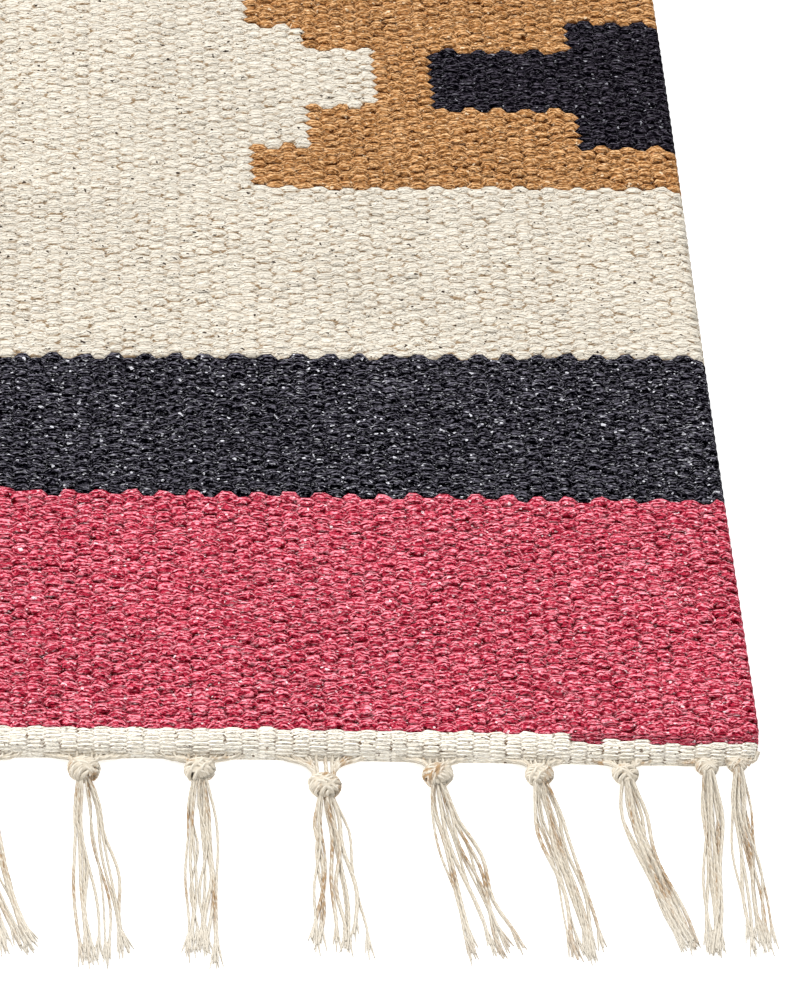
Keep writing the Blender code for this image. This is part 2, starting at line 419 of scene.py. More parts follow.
def smooth_noise(x, y, cell_x, cell_y, seed):
    """Random values on a lattice with that spacing, eased between its points; from -1 to 1."""
    size = 256
    lattice = np.random.default_rng(seed).uniform(-1, 1, (size, size))
    u = np.asarray(x, float) / cell_x + size / 4
    v = np.asarray(y, float) / cell_y + size / 4
    left = np.floor(u).astype(int)
    low = np.floor(v).astype(int)
    fu = u - left
    fv = v - low
    fu = fu * fu * (3 - 2 * fu)
    fv = fv * fv * (3 - 2 * fv)
    corner = lattice[left % size, low % size]
    right = lattice[(left + 1) % size, low % size]
    above = lattice[left % size, (low + 1) % size]
    beyond = lattice[(left + 1) % size, (low + 1) % size]
    return (corner * (1 - fu) + right * fu) * (1 - fv) + (above * (1 - fu) + beyond * fu) * fv


# Where a tassel's knot sits along the end, how far its strands' ends lean towards +X, the width
# over those ends and the strands' length, in millimetres; then the knot's size beside a full one,
# its distance from the cloth, and how late the strands lean over.
Tassel = namedtuple("Tassel", "place lean spread length size out bend", defaults=(None, None))

# The tassels beside the near right corner, placed by their distance from the right selvedge.
CORNER_TASSELS = (
    Tassel(6.3, 0.4, 8.4, 50.0, 0.62, 2.2, 1.2),
    Tassel(13.1, -3.2, 3.8, 52.0, 0.72, 3.0, 1.2),
    Tassel(31.5, 10.2, 5.0, 50.0, 0.84, 5.2, 1.75),
    Tassel(50.5, 7.2, 5.6, 52.0, 0.90, 5.6, 1.2),
    Tassel(72.8, 9.9, 12.5, 52.0, 0.96, 5.9, 1.25),
    Tassel(97.5, 0.7, 14.2, 50.0, 1.02, 8.9, 1.0),
    Tassel(124.4, -0.5, 8.0, 53.0, 0.97, 4.9, 1.2),
    Tassel(149.3, 4.0, 13.0, 54.0, 1.0, 5.0, 1.3),
    Tassel(171.4, 9.1, 8.0, 51.0, 1.0, 5.2, 1.5),
)
FAR_TASSELS = 26
NEAR_PLAIN_TASSELS = 18
END_MARGIN = 4.5
PLACE_JITTER = 1.2
LEAN_SWING = 4.5
LEAN_STEP = 0.7
LEAN_JITTER = 0.8
SPREAD_RANGE = (5.5, 10.5)
LENGTH_RANGE = (49.0, 55.0)
KNOT_RANGE = (6.8, 7.8)
FULL_KNOT = 7.4
OUT_RANGE = (4.8, 6.2)
BEND_RANGE = (1.0, 1.6)


def random_tassels(places, chance):
    """Tassels of the ends that nothing fixes: uneven, but never so much that two of them meet."""
    phase = chance.uniform(0, 2 * math.pi)
    rows = []
    for index, place in enumerate(places):
        swing = LEAN_SWING * math.sin(LEAN_STEP * index + phase)
        rows.append(Tassel(
            place=place + chance.uniform(-PLACE_JITTER, PLACE_JITTER),
            lean=swing + chance.uniform(-LEAN_JITTER, LEAN_JITTER),
            spread=chance.uniform(*SPREAD_RANGE),
            length=chance.uniform(*LENGTH_RANGE),
            size=chance.uniform(*KNOT_RANGE) / FULL_KNOT,
        ))
    return rows


def tassel_rows():
    """The near and the far end's tassels, with their places turned into X, in order of X."""
    chance = random.Random(SEED)
    last = CORNER_TASSELS[-1].place
    step = (WIDTH - END_MARGIN - last) / NEAR_PLAIN_TASSELS
    near_places = [last + step * (number + 1) for number in range(NEAR_PLAIN_TASSELS)]
    near = list(CORNER_TASSELS) + random_tassels(near_places, chance)
    step = (WIDTH - 2 * END_MARGIN) / (FAR_TASSELS - 1)
    far = random_tassels([END_MARGIN + step * number for number in range(FAR_TASSELS)], chance)
    rows = []
    for row in (near, far):
        placed = [tassel._replace(place=WIDTH / 2 - tassel.place) for tassel in row]
        rows.append(sorted(placed, key=lambda tassel: tassel.place))
    return rows


NEAR_TASSELS, FAR_TASSEL_ROW = tassel_rows()


def corner_draw(distance):
    """How far the outline draws in this close to a corner."""
    return CORNER_DRAW * np.clip(1 - distance / CORNER_REACH, 0, 1) ** 2


def edge_draw(x, row):
    """How far an end's edge draws in at x: nothing at a knot, most between two of them."""
    knots = np.array([tassel.place for tassel in row])
    after = np.clip(np.searchsorted(knots, x), 1, len(knots) - 1)
    share = (x - knots[after - 1]) / (knots[after] - knots[after - 1])
    swag = np.where((share >= 0) & (share <= 1), np.sin(math.pi * np.clip(share, 0, 1)), 0)
    return corner_draw(WIDTH / 2 - np.abs(x)) + EDGE_SWAG * swag


def selvedge_x(y, side):
    """X of the selvedge at y, swaying as the solid's does."""
    sway = np.sin(LONG_WAVE * y + side) + 0.6 * np.sin(SHORT_WAVE * y + 2 * side)
    pulled = np.where(side > 0, CORNER_PULL * np.exp(-(y + LENGTH / 2) / CORNER_PULL_REACH), 0)
    return side * (WIDTH / 2 + SELVEDGE_SWAY * sway - corner_draw(LENGTH / 2 - np.abs(y)) - pulled)


def row_places():
    """Every pick's distance along the surface from the near edge, and its pitch."""
    start = 0.0
    places = []
    pitches = []
    for band in BANDS:
        pitch = (band.until - start) / band.picks
        for number in range(band.picks):
            places.append(start + pitch * (number + 0.5))
            pitches.append(pitch)
        start = band.until
    whole = 2 * start
    places += [whole - place for place in reversed(places)]
    pitches += list(reversed(pitches))
    return np.array([0.0] + places + [whole]), np.array([0.0] + pitches + [0.0])


ROW_AT, ROW_PITCH = row_places()
ROWS = len(ROW_AT) - 2
WHOLE = ROW_AT[-1]

FALL_TURNS = np.linspace(0, math.pi / 2, 60)
FALL_RISE = THICKNESS - FALL_LOW
FALL_Y = FALL_OUT * (1 - np.cos(FALL_TURNS))
FALL_Z = FALL_LOW + FALL_RISE * np.sin(FALL_TURNS)
FALL_S = np.concatenate([[0], np.cumsum(np.hypot(np.diff(FALL_Y), np.diff(FALL_Z)))])
FALL_S *= FALL_ARC / FALL_S[-1]

# How much the picks slant across the photographed corner, by their distance from the edge. The
# slant swings to and fro over the width, and at the far end less and elsewhere.
SLANT_AT = (0, 6.6, 40, 73.4, 116.3, 171.7, 300, 452)
SLANT = (0, -0.008, -0.007, -0.0045, 0.020, 0.0255, 0.012, 0)
SLANT_REACH = 110.0
SLANT_MIDDLE = 215.0
FAR_SLANT_PHASE = 1.1
FAR_SLANT_SHARE = 0.7


def surface(x, along, depth):
    """The cloth's top, depth millimetres below its crowns, at x and at that distance along it."""
    from_edge = np.minimum(along, WHOLE - along)
    near = along < WHOLE / 2
    turn = (x - SLANT_MIDDLE) / SLANT_REACH
    swing = np.where(near, np.sin(turn), np.sin(FAR_SLANT_PHASE - turn) * FAR_SLANT_SHARE)
    from_edge = from_edge + np.interp(from_edge, SLANT_AT, SLANT) * SLANT_REACH * swing
    from_edge = np.maximum(from_edge, 0)
    falling = from_edge < FALL_ARC
    out = np.where(falling, np.interp(from_edge, FALL_S, FALL_Y), from_edge - FALL_EXTRA)
    height = np.where(falling, np.interp(from_edge, FALL_S, FALL_Z), THICKNESS)
    turned = np.where(falling, np.interp(from_edge, FALL_S, FALL_TURNS), math.pi / 2)
    normal_out = -np.cos(turned) * FALL_RISE
    normal_up = np.sin(turned) * FALL_OUT
    size = np.hypot(normal_out, normal_up)
    out = out - depth * normal_out / size
    height = height - depth * normal_up / size
    draw = np.where(near, edge_draw(x, NEAR_TASSELS), edge_draw(x, FAR_TASSEL_ROW))
    corner = np.clip((x - CORNER_REACH_FROM) / CORNER_REACH_OVER, 0, 1)
    long = END_REACH + np.where(near, CORNER_REACH_OUT * corner, 0)
    out = out + (draw - long) * np.clip(1 - from_edge / FALL_ARC, 0, 1)
    y = np.where(near, -1, 1) * (LENGTH / 2 - out)
    side = np.where(x < 0, -1, 1)
    reach = np.abs(selvedge_x(y, side))
    strip = np.clip((np.abs(x) - (WIDTH / 2 - SIDE_STRIP)) / SIDE_STRIP, 0, 1)
    moved = x + side * (reach - WIDTH / 2) * strip
    inward = np.clip(reach - np.abs(moved), 0, SIDE_ROUND) / SIDE_ROUND
    rounding = 0.5 + 0.5 * np.sqrt(np.clip(1 - (1 - inward) ** 2, 0, 1))
    return np.stack([moved, y, np.maximum(height * rounding, LOWEST)], axis=-1)


def cell_yarn(warp, row):
    """The yarn of the float on that warp in that pick. Past the ends it is the last pick's."""
    row = min(max(row, 0), ROWS - 1)
    count = row if row < ROWS // 2 else ROWS - 1 - row
    if count < BANDS[0].picks:
        droop = next((picks for start, picks in reversed(DROOPS) if warp >= start), 0)
        drooping = row < ROWS // 2 and count >= BANDS[0].picks - droop
        return BANDS[1].yarn if drooping else BANDS[0].yarn
    for band in BANDS:
        if count < band.picks:
            break
        count -= band.picks
    if band.name != "motifs":
        return band.yarn
    from_middle = min(abs(warp + 0.5 - middle) for middle in DIAMOND_MIDDLES)
    for yarn, steps in (("motif_charcoal", CHARCOAL_STEPS), ("ochre", OCHRE_STEPS)):
        half_width = next(step.half_width for step in steps if count < step.until)
        if from_middle < half_width:
            return yarn
    return band.yarn


def cloth_points():
    """Where the floats' outlines and crowns lie: arrays over every warp and pick, edges included."""
    warps = np.arange(-1, WARPS + 1)
    rows = np.arange(-1, ROWS + 1)
    warp, row = np.meshgrid(warps, rows, indexing="ij")
    chance = np.random.default_rng(SEED)
    along = ROW_AT[row + 1]
    pitch = ROW_PITCH[row + 1]

    def uneven(amount, cell_x, cell_y, seed):
        return amount * smooth_noise(x, along, cell_x, cell_y, SEED + seed)

    # The middle of every float, off its place by a little, and less so at the ends.
    x = -WIDTH / 2 + (warp + 0.5) * WARP_PITCH + chance.uniform(-0.12, 0.12, len(warps))[:, None]
    x = x + uneven(0.30, 14, 55, 1)
    inside = np.clip(np.minimum(along, WHOLE - along) / FALL_ARC, 0, 1)
    full = np.clip(pitch / 1.3, 0, 1)
    middle = along + (uneven(0.45, 24, 8, 2) + uneven(0.46, 4.6, 2.5, 3)) * full * inside
    thin = pitch < THIN_PITCH
    depth = np.array([[YARNS[cell_yarn(at, number)].depth for number in rows] for at in warps])

    # The corners of the outlines, down in the crevices, and the rim along the selvedges.
    first_stripe = BANDS[0].picks
    hem = np.where(row == first_stripe, -HEM_DROP, 0)
    hem = np.where(row == ROWS - 1 - first_stripe, HEM_DROP, hem)
    rim = {"left": warp == 0, "right": warp == WARPS - 1}
    ends = (row == -1) | (row == ROWS)
    points = {}
    for name, side in (("left", -1), ("right", 1)):
        reach = np.where(thin, HEADING_CREVICE_REACH, CREVICE_REACH)
        reach = reach + uneven(np.where(thin, 0.05, 0.15), 2.2, 1.1, 7 + side)
        at_x = np.where(rim[name], side * (WIDTH / 2 - WRAP_BULGE), x + side * reach * WARP_PITCH)
        dip = np.where(thin, 0.16, 0.5) * smooth_noise(at_x, along, 2.6, 1.1, SEED + 4)
        lower = np.where(rim[name], np.where(thin, 0.2, 1.4), depth * (1 + dip))
        lower = np.where(ends, 0, lower)
        shift = 0.26 * smooth_noise(at_x, along, 2.4, 1.3, SEED + 14) * pitch + hem
        points[name] = surface(at_x, middle + shift, lower)
    points["wrap"] = surface(np.where(warp < 0, -1, 1) * WIDTH / 2 + 0 * x, middle, 0 * x)

    # The crowns: uneven in size, height and tilt.
    lift = uneven(0.24, 2.5, 1.0, 5) + uneven(0.10, 30, 20, 6)
    lift = np.where(thin, 0.3, depth * 1.4) * lift + 0.08
    grow = 1 + uneven(0.22, 2.1, 1.0, 8)
    tilt = uneven(0.20, 2.3, 1.2, 11) * pitch
    crown = np.where(thin, HEADING_CROWN_REACH, CROWN_REACH)
    for name, side, end in CROWN_CORNERS:
        at_x = x + side * crown * WARP_PITCH * grow
        points[name] = surface(at_x, middle + end * CROWN_HEIGHT * grow * pitch + side * tilt, lift)
    return points


class Weave:
    """One band of the cloth while it is made: its points, its faces and what each face is woven of."""

    def __init__(self, points, chance):
        self.points = points
        self.chance = chance
        self.vertices = []
        self.index = {}
        self.faces = []
        self.uvs = []
        self.yarns = []
        self.tints = []
        self.strips = []

    def vertex(self, key, place):
        if key not in self.index:
            self.index[key] = len(self.vertices)
            self.vertices.append(place)
        return self.index[key]

    def point(self, name, warp, row):
        """The vertex of a named point of the cloth."""
        return self.vertex((name, warp, row), self.points[name][warp + 1, row + 1])

    def face(self, corners, yarn, tint, strip=0):
        """A triangle of (vertex, place on the float). The strip keeps the walls apart on the bake map."""
        self.faces.append([corner[0] for corner in corners])
        self.uvs.append([corner[1] for corner in corners])
        self.yarns.append(yarn)
        self.tints.append(tint)
        self.strips.append(strip)

    def outline(self, warp, row):
        """The corners of a float, counter-clockwise from its left tip, each with its place on it."""
        left = self.point("wrap", -1, row) if warp == 0 else self.point("right", warp - 1, row)
        corners = [(left, (1 - TIP_UV, 1))]
        if row > -1:
            corners.append((self.point("left", warp, row - 1), (1 - CREVICE_UV, 0)))
            corners.append((self.point("right", warp, row - 1), (1 + CREVICE_UV, 0)))
        last = warp == WARPS - 1
        right = self.point("wrap", WARPS, row) if last else self.point("left", warp + 1, row)
        corners.append((right, (1 + TIP_UV, 1)))
        if row < ROWS:
            corners.append((self.point("right", warp, row + 1), (1 + CREVICE_UV, 2)))
            corners.append((self.point("left", warp, row + 1), (1 - CREVICE_UV, 2)))
        return corners

    def add_float(self, warp, row):
        """A float that bulges over its warp, or at the ends the flat bit between two of them."""
        yarn = cell_yarn(warp, row)
        tint = self.chance.random()
        corners = self.outline(warp, row)
        if not 0 <= row < ROWS:
            for number in range(1, len(corners) - 1):
                self.face((corners[0], corners[number], corners[number + 1]), yarn, tint)
            return
        left, low_left, low_right, right, top_right, top_left = corners
        a, b, c, d = (
            (self.point(name, warp, row), (1 + side * CROWN_REACH, 1 + end * CROWN_HEIGHT))
            for name, side, end in CROWN_CORNERS
        )
        for three in (
            (left, low_left, a), (low_left, low_right, b), (low_left, b, a), (low_right, right, b),
            (right, c, b), (right, top_right, c), (top_right, top_left, d), (top_right, d, c),
            (top_left, left, d), (left, a, d), (a, b, c), (a, c, d),
        ):
            self.face(three, yarn, tint)

    def cut(self, row):
        """The line between two picks, from one selvedge to the other: vertices with their floats."""
        if row == 0:
            spots = [(warp, -1) for warp in range(WARPS) if warp % 2 == 0]
        elif row == ROWS:
            spots = [(warp, ROWS) for warp in range(WARPS) if (warp + ROWS) % 2]
        else:
            spots = [(warp, row if (warp + row) % 2 else row - 1) for warp in range(WARPS)]
        line = []
        for warp, at in spots:
            line.append((self.point("left", warp, at), (warp, at)))
            line.append((self.point("right", warp, at), (warp, at)))
        if row == ROWS:
            line.insert(0, (self.point("wrap", -1, ROWS), (0, ROWS)))
            line.append((self.point("wrap", WARPS, ROWS), (WARPS - 1, ROWS)))
        return line

    def selvedge(self, warp, first, until):
        """The rim along one selvedge between two cuts, without their ends."""
        side, wrap = ("left", -1) if warp == 0 else ("right", WARPS)
        start = -1 if first == 0 else first if (warp + first) % 2 else first - 1
        stop = until if until == ROWS or (warp + until) % 2 else until - 1
        line = []
        for row in range(start + 1, stop):
            if (warp + row) % 2:
                line.append((self.point(side, warp, row), (warp, row)))
            else:
                line.append((self.point("wrap", wrap, row), (warp, row)))
        return line

    def add_underside(self, first, until):
        """The flat underside, one cell for two warps by two picks, and the line around it."""
        columns = (WARPS + 1) // 2
        cells = (until - first + 1) // 2
        xs = np.linspace(-WIDTH / 2 + UNDER_INSET, WIDTH / 2 - UNDER_INSET, columns + 1)
        start = UNDER_START if first == 0 else (ROW_AT[first] + ROW_AT[first + 1]) / 2
        stop = WHOLE - UNDER_START if until == ROWS else (ROW_AT[until] + ROW_AT[until + 1]) / 2
        alongs = np.linspace(start, stop, cells + 1)
        grid_x, grid_along = np.meshgrid(xs, alongs, indexing="ij")
        places = surface(grid_x, grid_along, 0 * grid_x)
        places[..., 2] = 0
        mark = [
            [self.vertex(("under", i, j), places[i, j]) for j in range(cells + 1)]
            for i in range(columns + 1)
        ]
        for i in range(columns):
            for j in range(cells):
                warp = min(int((i + 0.5) * WARPS / columns), WARPS - 1)
                row = int(np.searchsorted(ROW_AT, (alongs[j] + alongs[j + 1]) / 2)) - 1
                yarn = cell_yarn(warp, row)
                tint = self.chance.random()
                a = (mark[i][j], (0, 0))
                b = (mark[i + 1][j], (2, 0))
                c = (mark[i + 1][j + 1], (2, 2))
                d = (mark[i][j + 1], (0, 2))
                self.face((a, c, b), yarn, tint)
                self.face((a, d, c), yarn, tint)
        low = [mark[i][0] for i in range(columns + 1)]
        high = [mark[i][cells] for i in range(columns + 1)]
        return low, mark[columns], high, mark[0]

    def add_wall(self, upper, lower, axis, turned, strip):
        """Joins a line of the top to a line of the underside, both running the same way."""
        at_upper = [self.vertices[spot[0]][axis] for spot in upper]
        at_lower = [self.vertices[index][axis] for index in lower]
        i = 0
        j = 0
        while i < len(upper) - 1 or j < len(lower) - 1:
            last_upper = i == len(upper) - 1
            step_upper = not last_upper and (j == len(lower) - 1 or at_upper[i + 1] <= at_lower[j + 1])
            corner = (upper[i][0], (1.2, 1.6))
            foot = (lower[j], (1, 1))
            if step_upper:
                three = (foot, (upper[i + 1][0], (1, 1.2)), corner)
                i += 1
            else:
                three = (foot, (lower[j + 1], (1, 1)), corner)
                j += 1
            warp, row = upper[min(i, len(upper) - 1)][1]
            yarn = cell_yarn(warp, row)
            self.face(three[::-1] if turned else three, yarn, 0.5, strip)


def build_band(name, first, until, points, finishes, chance):
    """The cloth between two picks: one closed piece with its floats raised on top."""
    weave = Weave(points, chance)
    start = -1 if first == 0 else first
    stop = ROWS + 1 if until == ROWS else until
    for row in range(start, stop):
        for warp in range(row % 2, WARPS, 2):
            weave.add_float(warp, row)
    low, right, high, left = weave.add_underside(first, until)
    near = weave.cut(first)
    far = weave.cut(until)
    right_rim = [near[-1]] + weave.selvedge(WARPS - 1, first, until) + [far[-1]]
    left_rim = [near[0]] + weave.selvedge(0, first, until) + [far[0]]
    weave.add_wall(near, low, 0, False, 0 if first == 0 else 1)
    weave.add_wall(far, high, 0, True, 0 if until == ROWS else 2)
    weave.add_wall(right_rim, right, 1, False, 0)
    weave.add_wall(left_rim, left, 1, True, 0)
    return make_band(name, weave, finishes)


def bake_places(places, corners, under, strips):
    """A flat map of the piece: top in one half, underside in the other, cut walls between them."""
    at = places[corners]
    low = places.min(axis=0)
    size = places.max(axis=0) - low
    flat = np.stack([(at[:, 0] - low[0]) / size[0], (at[:, 1] - low[1]) / size[1] * 0.48], axis=-1)
    flat[:, 1] += np.where(under, 0.51, 0.0)
    for strip, start in ((1, 0.484), (2, 0.496)):
        wall = strips == strip
        flat[wall, 1] = start + 0.01 * at[wall, 2] / size[2]
    return flat


def make_band(name, weave, finishes):
    """The finished piece: yarns as material slots, floats' own places and a flat map to bake on."""
    mesh = bpy.data.meshes.new(name)
    places = np.array(weave.vertices, float) * MM
    mesh.from_pydata(places.tolist(), [], weave.faces)
    names = sorted(set(weave.yarns))
    for yarn in names:
        mesh.materials.append(finishes[yarn])
    mesh.polygons.foreach_set("material_index", [names.index(yarn) for yarn in weave.yarns])
    own = mesh.uv_layers.new(name="float")
    own.data.foreach_set("uv", np.array(weave.uvs, float).reshape(-1))
    store(mesh, "tint", "FLOAT", "FACE", np.array(weave.tints, float))
    normals = np.zeros(len(weave.faces) * 3)
    mesh.polygons.foreach_get("normal", normals)
    under = np.repeat(normals.reshape(-1, 3)[:, 2] < 0, 3)
    corners = np.array(weave.faces).reshape(-1)
    flat = bake_places(places, corners, under, np.repeat(np.array(weave.strips), 3))
    bake = mesh.uv_layers.new(name="OFBake")
    bake.data.foreach_set("uv", flat.reshape(-1))
    mesh.shade_smooth()
    mark_crevices(mesh, weave)
    return add_object(name, mesh)


def mark_crevices(mesh, weave):
    """Sharp edges along every float's outline, so that each is rounded by itself."""
    crown = np.zeros(len(mesh.vertices), bool)
    crown[[index for key, index in weave.index.items() if key[0].startswith("crown")]] = True
    ends = np.zeros(len(mesh.edges) * 2, int)
    mesh.edges.foreach_get("vertices", ends)
    touches = crown[ends].reshape(-1, 2).any(axis=1)
    store(mesh, "sharp_edge", "BOOLEAN", "EDGE", ~touches)


def build_cloth(finishes):
    """All bands of the cloth, from the near end to the far end."""
    stripes = sum(band.picks for band in BANDS[:3])
    motifs = stripes + sum(band.picks for band in BANDS[3:5])
    points = cloth_points()
    cuts = (
        ("near_stripes", 0, stripes),
        ("near_motifs", stripes, motifs),
        ("near_field", motifs, ROWS // 2),
        ("far_field", ROWS // 2, ROWS - motifs),
        ("far_motifs", ROWS - motifs, ROWS - stripes),
        ("far_stripes", ROWS - stripes, ROWS),
    )
    chance = random.Random(SEED + 5)
    for name, first, until in cuts:
        piece = build_band("cloth_" + name, first, until, points, finishes, chance)
        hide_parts("rug_cloth")
        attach(piece, "root")
        length = (ROW_AT[until] - ROW_AT[first + 1]) * MM


# The fringe

# The fan before a knot: from how far to each side its yarns come, the gap to the next fan and the
# margin at a selvedge, how far inside the cloth they start and how closely they gather.
FAN_YARNS = 14
FAN_THICK = 0.84
FAN_STEPS = 6
FAN_REACH = 12.5
FAN_GAP = 0.3
FAN_MARGIN = 0.8
FAN_START = 1.3
FAN_NECK = 1.9

# The strands below a knot, and the plies that they fray into.
STRANDS = 10
STRAND_STEPS = 14
STRAND_THICK = 0.68
STRAND_NECK = 2.7
FRAYED_THICK = (0.45, 0.54, 0.50, 0.26)
FRAYED_HEIGHT = 0.28
YARN_SIDES = 5

# A knot's half width, half length and half height, and how its turns slant across it, in degrees.
# Shares of its half length say where the fan runs into it and where the strands leave it.
KNOT_HALF = (3.5, 2.95, 2.0)
KNOT_ENTRY = 0.55
KNOT_EXIT = 0.75
KNOT_SLANT = 34
KNOT_CROSS = 48
KNOT_TURNS = (-0.72, -0.46, -0.2, 0.06, 0.32, 0.58, 0.8)
KNOT_CROSSING = (0.0, 0.3)
KNOT_STEPS = 15
KNOT_YARN_THICK = 1.1
KNOT_LOWEST = 0.62
KNOT_LIFT = 0.35


class Fringe:
    """Collects the paths of one end's yarns, to be given their thickness together."""

    def __init__(self):
        self.points = []
        self.edges = []
        self.thick = []
        self.along = []
        self.tint = []
        self.tip = []

    def add(self, path, thick, tint, tips=None, closed=False):
        """One yarn along the path, in millimetres, with a thickness for each of its points."""
        start = len(self.points)
        length = 0.0
        for number, point in enumerate(path):
            if number:
                length += math.dist(point, path[number - 1])
                self.edges.append((start + number - 1, start + number))
            self.points.append([part * MM for part in point])
            self.along.append(length * MM)
            self.thick.append(thick[number] * MM)
            self.tint.append(tint)
            self.tip.append(tips[number] if tips else 0.0)
        if closed:
            self.edges.append((len(self.points) - 1, start))


def yarn_tree(material):
    """Geometry Nodes that give every path its yarn: a tube as thick as its points say."""
    group = bpy.data.node_groups.new("fringe_yarns", "GeometryNodeTree")
    sockets = {}
    for name, way, kind in (
        ("Geometry", "INPUT", "Geometry"), ("Sides of a yarn", "INPUT", "Int"),
        ("Thickness", "INPUT", "Float"), ("Geometry", "OUTPUT", "Geometry"),
    ):
        sockets[name] = group.interface.new_socket(name, in_out=way, socket_type="NodeSocket" + kind)
    tree = Tree(group)
    given = tree.node("NodeGroupInput").outputs

    def add(kind, settings=None, inputs=None):
        return tree.node("GeometryNode" + kind, settings, inputs).outputs[0]

    paths = add("MeshToCurve", {}, {0: given["Geometry"]})
    thick = add("InputNamedAttribute", {"data_type": "FLOAT"}, {"Name": "thick"})
    settings = {"operation": "MULTIPLY"}
    radius = tree.node("ShaderNodeMath", settings, {0: thick, 1: given["Thickness"]}).outputs[0]
    paths = add("SetCurveRadius", {}, {"Curve": paths, "Radius": radius})
    circle = add("CurvePrimitiveCircle", {}, {"Resolution": given["Sides of a yarn"], "Radius": 0.5})
    circle = add("StoreNamedAttribute", {"data_type": "FLOAT", "domain": "POINT"}, {
        "Geometry": circle, "Name": "around", "Value": add("SplineParameter"),
    })
    yarns = add("CurveToMesh", {}, {
        "Curve": paths, "Profile Curve": circle, "Scale": radius, "Fill Caps": True,
    })
    yarns = add("RealizeInstances", {}, {0: add("SetShadeSmooth", {}, {0: yarns})})
    yarns = add("SetMaterial", {}, {"Geometry": yarns, "Material": material})
    tree.node("NodeGroupOutput", {}, {"Geometry": yarns})
    return group, sockets


def make_fringe(name, fringe, material, nodes):
    """Turns the collected paths into one mesh of yarns and hands it to the rug."""
    mesh = bpy.data.meshes.new(name + "_paths")
    mesh.from_pydata(fringe.points, fringe.edges, [])
    for attribute in ("thick", "along", "tint", "tip"):
        store(mesh, attribute, "FLOAT", "POINT", getattr(fringe, attribute))
    paths = add_object(name + "_paths", mesh)
    modifier = paths.modifiers.new("yarns", "NODES")
    modifier.node_group, sockets = yarn_tree(material)
    modifier[sockets["Sides of a yarn"].identifier] = YARN_SIDES
    modifier[sockets["Thickness"].identifier] = 1.0
    depsgraph = bpy.context.evaluated_depsgraph_get()
    made = bpy.data.meshes.new_from_object(paths.evaluated_get(depsgraph))
    made.name = name
    bpy.data.objects.remove(paths, do_unlink=True)
    piece = add_object(name, made)
    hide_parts(*nodes)
    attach(piece, "root")


def add_knot(fringe, tassel, side, chance):
    """An overhand knot: a core, wound round by slanting turns and crossed by two more on top."""
    hand = chance.choice((-1, 1))
    half = [part * tassel.size for part in KNOT_HALF]
    middle = (tassel.place, LENGTH / 2 + tassel.out, half[2] + KNOT_LIFT)
    core = []
    thick = []
    for number in range(7):
        s = number / 3 - 1
        core.append((middle[0], side * (middle[1] + s * half[1]), middle[2] * (1 - 0.25 * abs(s))))
        thick.append(2 * half[2] * math.sqrt(max(0.15, 1.1 - s * s * 0.9)))
    fringe.add(core, thick, chance.random())
    turns = [(KNOT_SLANT, offset, 0.90) for offset in KNOT_TURNS]
    turns += [(-KNOT_CROSS, offset, 0.98) for offset in KNOT_CROSSING]
    for slant, offset, swell in turns:
        slant = math.radians(slant + chance.uniform(-6, 6)) * hand
        offset = offset + chance.uniform(-0.04, 0.04)
        lean = chance.uniform(0.05, 0.3)
        normal = Vector((math.sin(slant), math.cos(slant), lean)).normalized()
        first = normal.cross(Vector((0, 0, 1))).normalized()
        second = normal.cross(first)
        radius = math.sqrt(1 - offset * offset)
        path = []
        for number in range(KNOT_STEPS):
            angle = 2 * math.pi * number / KNOT_STEPS
            spot = normal * offset + (first * math.cos(angle) + second * math.sin(angle)) * radius
            spot = spot * swell
            z = max(KNOT_LOWEST, middle[2] + spot.z * half[2])
            path.append((middle[0] + spot.x * half[0], side * (middle[1] + spot.y * half[1]), z))
        thick = [KNOT_YARN_THICK * tassel.size * chance.uniform(0.9, 1.08)] * KNOT_STEPS
        fringe.add(path, thick, chance.random(), closed=True)


def add_fan(fringe, tassel, side, left, right, chance):
    """The warp ends that sweep along the heading's edge and gather in the knot."""
    into = tassel.out - KNOT_HALF[1] * tassel.size * KNOT_ENTRY
    for yarn in range(FAN_YARNS):
        root = left + (right - left) * (yarn + 0.5) / FAN_YARNS + chance.uniform(-0.5, 0.5)
        across = root - tassel.place
        gather = across - math.copysign(min(FAN_NECK, abs(across)), across)
        far = min(1.0, abs(across) / 11)
        hem = 0.4 + (1.6 - 0.7 * far) * chance.random()
        high = chance.uniform(0.9, 2.0)
        path = []
        for number in range(FAN_STEPS + 1):
            s = number / FAN_STEPS
            leaving = min(1.0, s / 0.22)
            sweep = max(0.0, (s - 0.12) / 0.88) ** (1.2 + 1.0 * far)
            px = root - gather * math.sin(math.pi / 2 * s) ** 1.1
            py = -FAN_START + (hem + FAN_START) * leaving + (into - hem) * sweep
            pz = high + (0.7 - high) * leaving + 1.7 * s ** 1.8
            path.append((px, side * (LENGTH / 2 + py), pz))
        thick = [FAN_THICK * (1 + 0.25 * number / FAN_STEPS) for number in range(FAN_STEPS + 1)]
        fringe.add(path, thick, chance.random())


